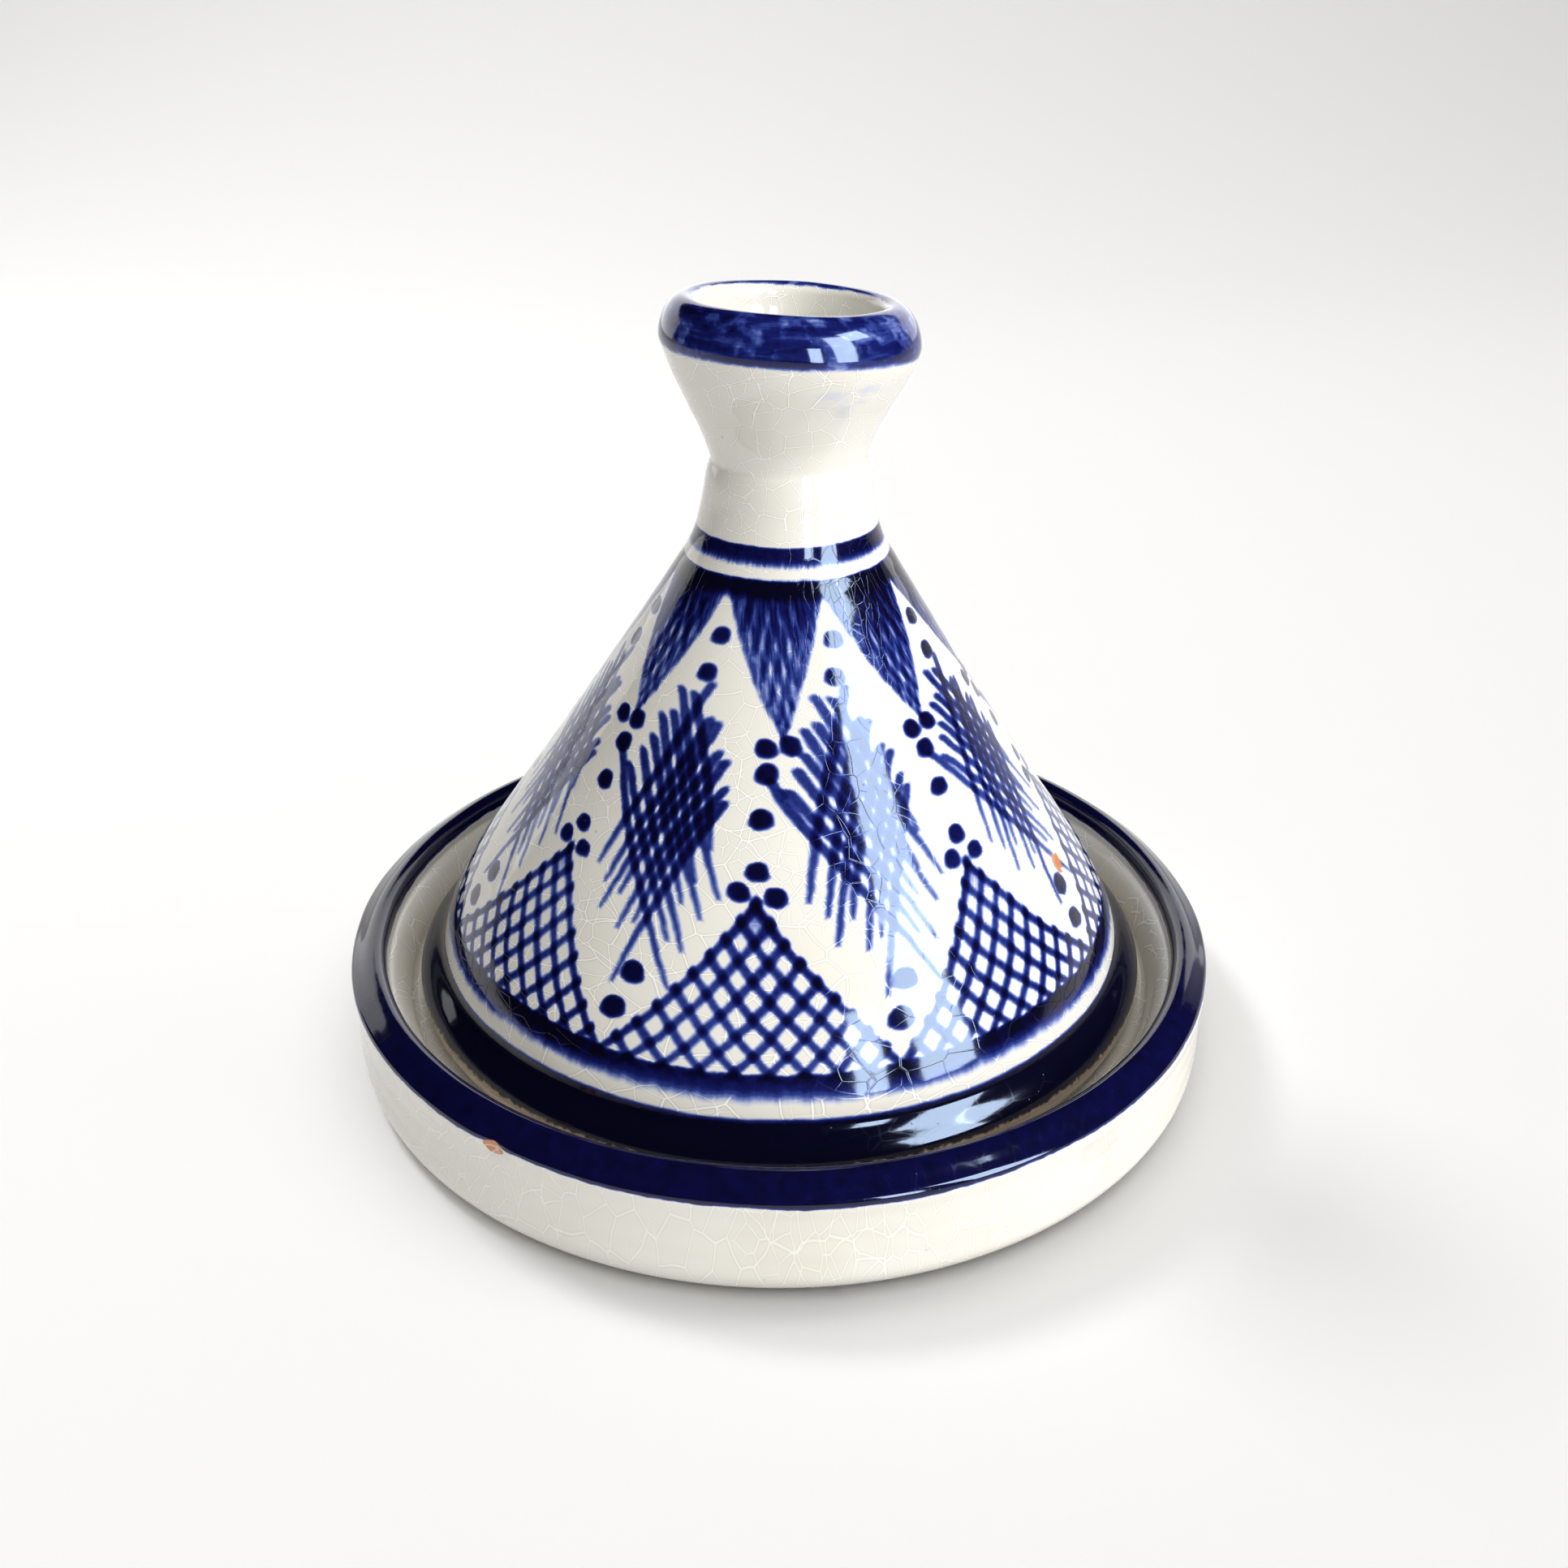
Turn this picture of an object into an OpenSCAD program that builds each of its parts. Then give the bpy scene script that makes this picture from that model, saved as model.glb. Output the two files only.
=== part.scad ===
// Painted tagine pot: a shallow round dish and the conical lid that lifts off it.
// Both are thrown in clay and glazed. Millimetres, +Z up.
// The origin is on the table, at the centre of the dish.

/* [Dish] */
// Diameter over the outside of the dish wall
dish_d = 150; // [140:1:165]
// Height of the dish, table to the top of its lip
dish_h = 21; // [20:0.5:26]
// Thickness of the rounded lip
lip_t = 6; // [5:0.5:7]
// Radius of the rounded corner between the wall and the foot
base_round = 4; // [2:0.5:5]
// Width of the ring that stands on the table
foot_w = 7; // [5:0.5:9]
// Hollow under the floor, inside the foot ring
foot_lift = 1.5; // [1:0.25:2]
// Thickness of the floor at its centre
floor_t = 4.5; // [4:0.25:5]

/* [Seat for the lid] */
// Height of the flat ledge that the lid stands on
ledge_z = 10; // [9:0.5:12]
// Width of the ledge
ledge_w = 8.5; // [7:0.5:10]
// Depth of the short upright face just inside the lip
lip_drop = 1.6; // [1:0.1:2]
// Gap left between the lid and the ledge
seat_gap = 0.1; // [0.05:0.05:0.3]

/* [Lid] */
// Diameter over the rolled foot of the lid
lid_d = 127.4; // [124:0.2:128]
// Thickness of the clay
lid_t = 5; // [4:0.25:6]
// Height of the rolled foot, from the ledge to its groove
lid_foot_h = 8.8; // [8:0.2:10]
// Depth of the groove between the rolled foot and the shoulder
lid_foot_flare = 4.2; // [3:0.1:5]
// Height above the ledge where the rounded shoulder becomes the straight cone
shoulder_h = 24; // [20:1:28]
// Radius where the shoulder becomes the straight cone
shoulder_r = 51.4; // [50:0.2:53]
// Height above the ledge of the top of the cone
cone_h = 74.5; // [70:0.5:80]
// Radius at the top of the cone
cone_top_r = 17.5; // [16:0.25:19]

/* [Knob] */
// Overall height of the pot with its lid on
total_h = 125; // [122:0.5:130]
// Height of the narrowest part of the neck, above the top of the cone
waist_h = 15.5; // [14:0.5:17]
// Radius of the narrowest part of the neck
waist_r = 12.2; // [11.5:0.1:13]
// Largest radius of the flared rim
rim_r = 19.6; // [18.5:0.1:21]
// Height from the rim's widest place up to its crest
rim_h = 6; // [5:0.5:7]
// Radius of the open mouth of the knob
mouth_r = 14.2; // [13.5:0.1:15]
// Depth of the cup inside the knob
cup_depth = 26; // [18:1:28]

/* [Hidden] */

turn_fn = 128;
curve_steps = 10;

white_glaze = [0.93, 0.91, 0.86];
painted_glaze = [0.80, 0.81, 0.86];

// dish
dish_r = dish_d / 2;
lip_r = lip_t / 2;
lip_mid = dish_r - lip_r;
lip_z = dish_h - lip_r;
lip_in = dish_r - lip_t;
ledge_out = lip_in - 3.7;
ledge_in = ledge_out - ledge_w;
foot_out = dish_r - base_round;
foot_in = foot_out - foot_w;
bowl_z = foot_lift + floor_t;

// lid
lid_r = lid_d / 2;
lid_z = ledge_z + seat_gap;
foot_edge_z = ledge_z + 3.8;
groove_z = ledge_z + lid_foot_h;
groove_r = lid_r - lid_foot_flare;
shoulder_z = ledge_z + shoulder_h;
cone_top_z = ledge_z + cone_h;
cone_slope = (shoulder_r - cone_top_r) / (cone_top_z - shoulder_z);
wall_across = lid_t * sqrt(1 + cone_slope * cone_slope);
lid_in = groove_r - lid_t * 0.4;
dome_z = cone_top_z - 5;
apex_z = cone_top_z + 4;

// knob
waist_z = cone_top_z + waist_h;
rim_z = total_h - rim_h;
crest_r = (rim_r + mouth_r) / 2 - 1.3;
cup_z = total_h - cup_depth;
cup_r = waist_r - lid_t;

// cubic curve from p0 to p3, pulled towards p1 and p2; the first point is left
// out, because it is the last point of the stretch before it
function curve(p0, p1, p2, p3, n = curve_steps) = [
    for (i = [1 : n])
        let (t = i / n, u = 1 - t)
            u * u * u * p0 + 3 * u * u * t * p1 + 3 * u * t * t * p2 + t * t * t * p3
];

// circular arc about [cx, cz] from angle a0 to angle a1
function arc(cx, cz, r, a0, a1, n = curve_steps) = [
    for (i = [0 : n])
        let (a = a0 + (a1 - a0) * i / n)
            [cx + r * cos(a), cz + r * sin(a)]
];

// radius of the lid's inner wall at height z, parallel to the straight cone
function inner_r(z) = shoulder_r - wall_across - (z - shoulder_z) * cone_slope;

function dish_outside() = concat(
    [[0, foot_lift], [foot_in - 1, foot_lift], [foot_in, 0]],
    arc(dish_r - base_round, base_round, base_round, -90, 0),
    arc(lip_mid, lip_z, lip_r, 0, 180, 16)
);

function dish_inside() = concat(
    [[lip_in, lip_z - lip_drop]],
    curve([lip_in, lip_z - lip_drop], [lip_in - 1.2, lip_z - lip_drop - 0.8],
          [ledge_out + 0.6, ledge_z + 2.4], [ledge_out, ledge_z]),
    [[ledge_in, ledge_z]],
    curve([ledge_in, ledge_z], [ledge_in - 2, ledge_z - 3.4],
          [ledge_in - 8, bowl_z + 0.3], [ledge_in - 24, bowl_z]),
    [[0, bowl_z]]
);

function lid_foot() = concat(
    [[lid_in, lid_z], [lid_r - 1.8, lid_z]],
    curve([lid_r - 1.8, lid_z], [lid_r - 0.5, lid_z + 0.4],
          [lid_r, foot_edge_z - 1.6], [lid_r, foot_edge_z]),
    curve([lid_r, foot_edge_z], [lid_r, foot_edge_z + 1.8],
          [groove_r + 0.5, groove_z - 1.9], [groove_r, groove_z])
);

function lid_cone() = concat(
    curve([groove_r, groove_z], [groove_r - 0.6, groove_z + 3],
          [shoulder_r + 4.6, shoulder_z - 6.6], [shoulder_r, shoulder_z]),
    curve([shoulder_r, shoulder_z],
          [shoulder_r - 14 * cone_slope - 0.7, shoulder_z + 14],
          [cone_top_r + 14 * cone_slope - 0.7, cone_top_z - 14],
          [cone_top_r, cone_top_z])
);

function lid_neck() = concat(
    curve([cone_top_r, cone_top_z], [cone_top_r - 3.6, cone_top_z + 6.4],
          [waist_r + 1.9, waist_z - 6.4], [waist_r, waist_z]),
    curve([waist_r, waist_z], [waist_r + 0.1, waist_z + 6],
          [rim_r - 0.2, rim_z - 5.5], [rim_r, rim_z]),
    curve([rim_r, rim_z], [rim_r, rim_z + 2.6],
          [crest_r + 2.2, total_h], [crest_r, total_h]),
    curve([crest_r, total_h], [crest_r - 0.9, total_h],
          [mouth_r, total_h - 0.6], [mouth_r, total_h - 1.8])
);

function lid_cup() = concat(
    curve([mouth_r, total_h - 1.8], [mouth_r - 0.2, total_h - 9],
          [cup_r + 0.2, cup_z + 12], [cup_r, cup_z + 5]),
    curve([cup_r, cup_z + 5], [cup_r, cup_z + 2],
          [cup_r - 3, cup_z], [0, cup_z])
);

function lid_inside() = concat(
    [[0, apex_z]],
    curve([0, apex_z], [6, apex_z],
          [inner_r(dome_z) - 2.5, dome_z + 3.7], [inner_r(dome_z), dome_z]),
    [[inner_r(shoulder_z), shoulder_z]],
    curve([inner_r(shoulder_z), shoulder_z],
          [inner_r(shoulder_z - 6), shoulder_z - 6],
          [lid_in, groove_z - 2], [lid_in, lid_z + 2])
);

module base_dish() {
    color(white_glaze)
        rotate_extrude($fn = turn_fn)
            polygon(concat(dish_outside(), dish_inside()));
}

module lid() {
    color(painted_glaze)
        rotate_extrude($fn = turn_fn)
            polygon(concat(lid_foot(), lid_cone(), lid_neck(), lid_cup(), lid_inside()));
}

base_dish();
lid();
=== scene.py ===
"""A small hand-painted tagine pot: a glazed dish with a conical lid that lifts off it.

The two pieces are turned shapes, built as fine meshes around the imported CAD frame.
Their glaze, crackle and cobalt painting are node materials worked out in millimetres
and degrees about the pot's own axis. Azimuth 0 is the side that faces the camera.
"""
import math

import bpy
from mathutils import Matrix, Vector, noise


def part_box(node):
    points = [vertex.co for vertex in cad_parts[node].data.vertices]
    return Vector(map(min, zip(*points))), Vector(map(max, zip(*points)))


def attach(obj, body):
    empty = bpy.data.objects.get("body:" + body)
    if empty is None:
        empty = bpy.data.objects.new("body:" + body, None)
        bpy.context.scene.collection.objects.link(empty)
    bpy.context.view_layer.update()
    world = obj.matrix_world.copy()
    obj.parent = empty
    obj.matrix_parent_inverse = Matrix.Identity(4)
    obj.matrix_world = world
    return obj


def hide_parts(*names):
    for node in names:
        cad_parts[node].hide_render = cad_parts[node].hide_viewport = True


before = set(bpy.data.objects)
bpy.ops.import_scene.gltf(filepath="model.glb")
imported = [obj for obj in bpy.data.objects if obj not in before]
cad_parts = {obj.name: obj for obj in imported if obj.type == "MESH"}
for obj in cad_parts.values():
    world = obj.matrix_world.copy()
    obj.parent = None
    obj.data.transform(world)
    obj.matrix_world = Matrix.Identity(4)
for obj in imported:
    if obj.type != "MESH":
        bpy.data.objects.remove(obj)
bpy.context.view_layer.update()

MM = 0.001

# ---------------------------------------------------------------- outlines

STEP = 1.0          # spacing of outline points where they show, mm
HIDDEN_STEP = 2.6   # and where they don't


def curve(p0, p1, p2, p3, step=STEP):
    """Points of a cubic curve from p0 to p3, without p0, about one step apart."""
    length = math.dist(p0, p1) + math.dist(p1, p2) + math.dist(p2, p3)
    count = max(3, round(length / step))
    points = []
    for i in range(1, count + 1):
        t = i / count
        u = 1 - t
        weights = (u ** 3, 3 * u * u * t, 3 * u * t * t, t ** 3)
        points.append(tuple(sum(w * p[axis] for w, p in zip(weights, (p0, p1, p2, p3)))
                            for axis in (0, 1)))
    return points


def line(p0, p1, step=STEP):
    """Points of a straight stretch from p0 to p1, without p0."""
    count = max(1, round(math.dist(p0, p1) / step))
    return [(p0[0] + (p1[0] - p0[0]) * i / count, p0[1] + (p1[1] - p0[1]) * i / count)
            for i in range(1, count + 1)]


def arc(centre, radius, start, end, step=STEP):
    """Points of a circular arc, angles in degrees, without the first."""
    sweep = math.radians(end - start)
    count = max(4, round(abs(sweep) * radius / step * 1.6))
    points = []
    for i in range(1, count + 1):
        angle = math.radians(start) + sweep * i / count
        points.append((centre[0] + radius * math.cos(angle),
                       centre[1] + radius * math.sin(angle)))
    return points


# ---------------------------------------------------------------- sizes, mm

def outer_radius(node):
    """Half the width of a CAD node, in mm."""
    low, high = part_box(node)
    return (high.x - low.x) / 2 / MM


DISH_R = outer_radius("base_dish")
DISH_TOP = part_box("base_dish")[1].z / MM
LID_R = outer_radius("lid")
LID_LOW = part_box("lid")[0].z / MM
LID_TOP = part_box("lid")[1].z / MM

SEAT_GAP = 0.1                    # between the lid and the ledge
LIP_T = 6.0                       # thickness of the dish's lip
LIP_IN = DISH_R - LIP_T
LIP_Z = DISH_TOP - LIP_T / 2      # middle of the lip
LIP_FOOT = LIP_Z - 1.6            # bottom of the upright face just inside the lip
WALL_TOP = DISH_TOP - 4.4         # where the lip starts, outside
LEDGE_Z = LID_LOW - SEAT_GAP      # the ledge that the lid stands on
LEDGE_OUT = LIP_IN - 3.7
LEDGE_IN = LEDGE_OUT - 8.5
BOWL_Z = 6.0                      # floor of the dish
FOOT_LIFT = 1.5                   # hollow under the floor
FOOT_IN = DISH_R - 11             # inner edge of the foot ring
BASE_ROUND = 4.6                  # corner between wall and foot

LID_T = 5.0                       # thickness of the lid's clay
GROOVE_Z = LEDGE_Z + 8.8          # groove above the lid's rolled foot
GROOVE_R = LID_R - 4.2
FOOT_EDGE_Z = LEDGE_Z + 3.8       # widest place of the rolled foot
SHOULDER = (51.4, LEDGE_Z + 24)   # where the rounded shoulder becomes the cone
CONE_TOP = (17.5, LEDGE_Z + 74.5)
WAIST = (12.2, CONE_TOP[1] + 16.1)
RIM = (19.6, LID_TOP - 6)         # widest place of the knob's rim
CREST = (15.6, LID_TOP)
MOUTH = (13.6, LID_TOP - 1.8)
CUP_R = WAIST[0] - LID_T
CUP_FLOOR = LID_TOP - 26
SLOPE = (SHOULDER[0] - CONE_TOP[0]) / (CONE_TOP[1] - SHOULDER[1])
SLANT = math.sqrt(1 + SLOPE * SLOPE)    # length along the cone for each mm of height


def dish_outline():
    """(material name, points) stretches from under the middle round to the bowl."""
    under = [(0.0, FOOT_LIFT)] + line((0, FOOT_LIFT), (FOOT_IN - 1.4, FOOT_LIFT), HIDDEN_STEP)
    under += curve((FOOT_IN - 1.4, FOOT_LIFT), (FOOT_IN - 0.6, FOOT_LIFT),
                   (FOOT_IN - 0.5, 0.1), (FOOT_IN + 0.4, 0), 0.5)
    under += line((FOOT_IN + 0.4, 0), (DISH_R - BASE_ROUND, 0))
    wall = arc((DISH_R - BASE_ROUND, BASE_ROUND), BASE_ROUND, -90, 0)
    wall += curve((DISH_R, BASE_ROUND), (DISH_R - 0.1, 9), (DISH_R - 0.5, 13),
                  (DISH_R, WALL_TOP))
    crest = (DISH_R - LIP_T * 0.68, DISH_TOP)
    corner = (DISH_R - 0.55, DISH_TOP - 2.15)
    lip = curve((DISH_R, WALL_TOP), (DISH_R + 0.1, DISH_TOP - 3.1),
                (corner[0] + 0.5, corner[1] - 0.3), corner, 0.4)
    lip += curve(corner, (corner[0] - 1.2, corner[1] + 0.74), (crest[0] + 1.3, DISH_TOP - 0.2),
                 crest, 0.6)
    lip += curve(crest, (crest[0] - 1.2, DISH_TOP), (LIP_IN, DISH_TOP - 1.4), (LIP_IN, LIP_Z), 0.6)
    lip += line((LIP_IN, LIP_Z), (LIP_IN, LIP_FOOT), 0.5)
    inner = curve((LIP_IN, LIP_FOOT), (LIP_IN - 1.2, LIP_FOOT - 0.8),
                  (LEDGE_OUT + 0.6, LEDGE_Z + 2.4), (LEDGE_OUT, LEDGE_Z), 0.7)
    inner += line((LEDGE_OUT, LEDGE_Z), (LEDGE_IN, LEDGE_Z))
    inner += curve((LEDGE_IN, LEDGE_Z), (LEDGE_IN - 2, LEDGE_Z - 3.4),
                   (LEDGE_IN - 8, BOWL_Z + 0.3), (LEDGE_IN - 24, BOWL_Z))
    inner += line((LEDGE_IN - 24, BOWL_Z), (0, BOWL_Z), 2.0)
    return [("bare_clay", under), ("dish_glaze", wall + lip), ("bowl_glaze", inner)]


def lid_under():
    """Outline of the lid's hollow and of the face that it stands on."""
    def inner_r(z):
        return SHOULDER[0] - LID_T * SLANT - (z - SHOULDER[1]) * SLOPE

    dome_z = CONE_TOP[1] - 5
    apex = (0.0, CONE_TOP[1] + 4)
    lid_in = GROOVE_R - 2
    dome = (inner_r(dome_z), dome_z)
    low_wall = (inner_r(SHOULDER[1]), SHOULDER[1])
    inside = [apex] + curve(apex, (6, apex[1]), (dome[0] - 2.5, dome_z + 3.7), dome, HIDDEN_STEP)
    inside += line(dome, low_wall, HIDDEN_STEP)
    inside += curve(low_wall, (inner_r(SHOULDER[1] - 6), SHOULDER[1] - 6),
                    (lid_in, GROOVE_Z - 2), (lid_in, LID_LOW + 2), HIDDEN_STEP)
    bottom = line((lid_in, LID_LOW + 2), (lid_in + 0.3, LID_LOW), 0.7)
    bottom += line((lid_in + 0.3, LID_LOW), (LID_R - 1.8, LID_LOW))
    return inside, bottom


def lid_outside():
    """Outline of the painted side of the lid, from its foot up to the knob's mouth."""
    groove = (GROOVE_R, GROOVE_Z)
    foot_edge = (LID_R, FOOT_EDGE_Z)
    outside = curve((LID_R - 1.8, LID_LOW), (LID_R - 0.5, LID_LOW + 0.4),
                    (LID_R, FOOT_EDGE_Z - 1.6), foot_edge, 0.6)
    outside += curve(foot_edge, (LID_R, FOOT_EDGE_Z + 1.8),
                     (GROOVE_R + 0.5, GROOVE_Z - 1.9), groove, 0.6)
    outside += curve(groove, (GROOVE_R - 0.6, GROOVE_Z + 3),
                     (SHOULDER[0] + 4.6, SHOULDER[1] - 6.6), SHOULDER)
    outside += curve(SHOULDER, (SHOULDER[0] - 14 * SLOPE - 0.7, SHOULDER[1] + 14),
                     (CONE_TOP[0] + 14 * SLOPE - 0.7, CONE_TOP[1] - 14), CONE_TOP)
    outside += curve(CONE_TOP, (CONE_TOP[0] - 4.4, CONE_TOP[1] + 5.8),
                     (WAIST[0] + 1.5, WAIST[1] - 3.4), WAIST, 0.8)
    outside += curve(WAIST, (WAIST[0] + 0.4, WAIST[1] + 4), (RIM[0] - 1.2, RIM[1] - 5.5), RIM, 0.8)
    outside += curve(RIM, (RIM[0], RIM[1] + 2.6), (CREST[0] + 2.2, CREST[1]), CREST, 0.6)
    outside += curve(CREST, (CREST[0] - 0.9, CREST[1]), (MOUTH[0], CREST[1] - 0.6), MOUTH, 0.5)
    return outside


def lid_outline():
    """(material name, points) stretches from the inside apex down, out and up to the cup."""
    inside, bottom = lid_under()
    cup = curve(MOUTH, (MOUTH[0] - 0.2, LID_TOP - 9), (CUP_R + 0.2, CUP_FLOOR + 12),
                (CUP_R, CUP_FLOOR + 5))
    cup += curve((CUP_R, CUP_FLOOR + 5), (CUP_R, CUP_FLOOR + 2), (CUP_R - 3, CUP_FLOOR),
                 (0, CUP_FLOOR))
    return [("white_glaze", inside), ("bare_clay", bottom), ("lid_glaze", lid_outside()),
            ("white_glaze", cup)]


# ---------------------------------------------------------------- turned meshes

def smooth(low, high, x):
    """Goes smoothly from 0, where x is low, to 1, where x is high."""
    t = min(1.0, max(0.0, (x - low) / (high - low)))
    return t * t * (3 - 2 * t)


LEAN = 1.7                        # how far the lid's top stands off its axis, mm
LEAN_FROM, LEAN_TO = 12, 118      # heights between which it leans
KNOB_TILT = 0.055                 # slope of the knob's rim, higher on the -X side
ON_AXIS = 1e-6                    # a smaller radius than this is a point on the axis


def lump(x, y, z, size, seed):
    """Soft noise from -1 to 1, with bumps about this size in mm."""
    return noise.noise(Vector((x / size + seed, y / size, z / size)))


def lid_shape(r, z, angle):
    """Where the hand-thrown lid really is: a slight lean, an oval, throwing rings, a tilted rim.

    The number before each sine or lump is how far that goes, in mm."""
    x, y = r * math.sin(angle), -r * math.cos(angle)
    free = smooth(LID_LOW + 3, GROOVE_Z, z)
    swell = 0.22 * math.sin(2 * angle + 0.6 + z / 45) + 0.12 * math.sin(3 * angle + 2.0 - z / 30)
    rings = 0.022 * math.sin(2 * math.pi * z / 5.3 + angle)
    dents = 0.14 * lump(x, y, z, 24, 3.1) + 0.015 * lump(x, y, z, 8, 8.4)
    narrow = min(1.0, r / 14)
    push = free * narrow * (swell + rings + dents)
    lean = LEAN * smooth(LEAN_FROM, LEAN_TO, z)
    top = smooth(WAIST[1] + 4, RIM[1], z)
    x += push * math.sin(angle) + lean
    y += -push * math.cos(angle)
    z += top * (0.14 * lump(x, y, 0, 9, 5.7) - KNOB_TILT * (x - lean) - 0.9)
    return x, y, z


def dish_shape(r, z, angle):
    """The dish as thrown: an uneven lip and wall, and a flat foot and ledge."""
    x, y = r * math.sin(angle), -r * math.cos(angle)
    wall = smooth(LEDGE_OUT, LEDGE_OUT + 3, r) * smooth(0.4, 4, z)
    swell = 0.2 * math.sin(2 * angle + 1.1) + 0.12 * math.sin(3 * angle + 0.4)
    dents = 0.16 * lump(x, y, z, 21, 1.7) + 0.06 * lump(x, y, z, 8, 6.6)
    rings = 0.04 * math.sin(2 * math.pi * z / 4.1 + angle)
    push = wall * (swell + dents + rings)
    lift = smooth(LEDGE_Z + 3, DISH_TOP, z)
    x += push * math.sin(angle)
    y += -push * math.cos(angle)
    z += lift * (0.22 * math.sin(2 * angle + 2.2) + 0.14 * lump(x, y, 0, 16, 4.4) - 0.25)
    return x, y, z


def chip_cut(chips, azimuth, r, z):
    """How deep the chips go here. Each is (azimuth, height, half width, half height, depth)."""
    cut = 0.0
    for at, height, width, tall, depth in chips:
        across = math.radians(azimuth - at) * r / width
        up = (z - height) / tall
        cut += depth * max(0.0, 1 - across * across - up * up) ** 0.7
    return cut


def ring_points(r, z, segments, shape, chips):
    """One turn of the outline point (r, z), or a single point on the axis."""
    if r < ON_AXIS:
        return [shape(0, z, 0)]
    points = []
    for i in range(segments):
        angle = 2 * math.pi * i / segments
        azimuth = math.degrees(math.atan2(math.sin(angle), math.cos(angle)))
        cut = chip_cut(chips, azimuth, r, z)
        points.append(shape(r - cut, z - 0.3 * cut, angle))
    return points


def faces_between(ring, other, segments):
    """Faces that join two neighbouring rings, either of which may be a single point."""
    faces = []
    for i in range(segments):
        j = (i + 1) % segments
        if len(other) == 1:
            faces.append((other[0], ring[j], ring[i]))
        elif len(ring) == 1:
            faces.append((other[i], other[j], ring[0]))
        else:
            faces.append((other[i], other[j], ring[j], ring[i]))
    return faces


def turned(name, outline, segments, shape, chips=()):
    """One closed mesh made by turning an outline, bent by shape(), with small chips knocked out."""
    vertices, faces, slots, other = [], [], [], None
    for slot_index, (_, points) in enumerate(outline):
        for r, z in points:
            made = ring_points(r, z, segments, shape, chips)
            ring = range(len(vertices), len(vertices) + len(made))
            vertices += made
            if other:
                faces += faces_between(ring, other, segments)
                slots += [slot_index] * segments
            other = ring
    mesh = bpy.data.meshes.new(name)
    mesh.from_pydata([Vector(v) * MM for v in vertices], [], faces)
    for material, _ in outline:
        mesh.materials.append(MATERIALS[material])
    mesh.polygons.foreach_set("material_index", slots)
    mesh.polygons.foreach_set("use_smooth", [True] * len(faces))
    mesh.update()
    piece = bpy.data.objects.new(name, mesh)
    bpy.context.scene.collection.objects.link(piece)
    return piece


# ---------------------------------------------------------------- node arithmetic

class Num:
    """A number in a node tree: plain arithmetic on it makes Math nodes."""

    def __init__(self, graph, value):
        self.graph = graph
        self.value = value              # a socket or a plain number

    def __add__(self, other):
        return self.graph.math("ADD", self, other)

    def __sub__(self, other):
        return self.graph.math("SUBTRACT", self, other)

    def __rsub__(self, other):
        return self.graph.math("SUBTRACT", other, self)

    def __mul__(self, other):
        return self.graph.math("MULTIPLY", self, other)

    def __truediv__(self, other):
        return self.graph.math("DIVIDE", self, other)

    def __neg__(self):
        return self.graph.math("MULTIPLY", self, -1.0)

    def __abs__(self):
        return self.graph.math("ABSOLUTE", self)


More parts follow.
